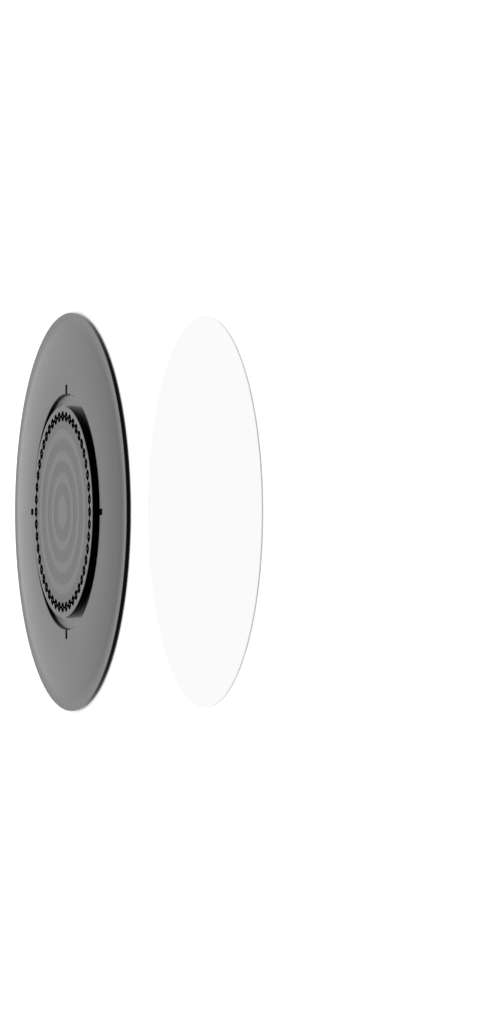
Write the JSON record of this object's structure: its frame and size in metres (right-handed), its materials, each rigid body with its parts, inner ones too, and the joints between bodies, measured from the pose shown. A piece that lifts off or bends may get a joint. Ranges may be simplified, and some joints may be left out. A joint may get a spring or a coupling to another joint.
{
  "type": "adhesive magnetic phone patch",
  "caption": "Thin round plastic phone patch with a raised toothed magnetic boss in a shallow dome, and its loose thin adhesive disc lying beside it.",
  "frame": {"origin": "centre of the patch's flat back, which lies on the surface that the patch rests on", "axes": "+Z out of the boss, square to the patch; +X from the patch towards the loose adhesive disc; the notches lie on +X, +Y, -X and -Y"},
  "size_m": [0.1365, 0.065, 0.002],
  "materials": {
    "body_plastic": "fine satin moulded black",
    "core_plastic": "fine satin moulded black, with lighter rings",
    "magnet_plating": "bright nickel plate",
    "yoke_steel": "rolled bright steel",
    "adhesive_film": "milky translucent film"
  },
  "bodies": {
    "root": {"base_disc": "body_plastic", "toothed_core": "core_plastic", "centre_magnet": "magnet_plating", "magnet_1": "magnet_plating", "magnet_2": "magnet_plating", "magnet_3": "magnet_plating", "magnet_4": "magnet_plating", "magnet_5": "magnet_plating", "magnet_6": "magnet_plating", "magnet_7": "magnet_plating", "magnet_8": "magnet_plating", "yoke_plate": "yoke_steel", "adhesive_disc": "adhesive_film"}
  },
  "joints": []
}
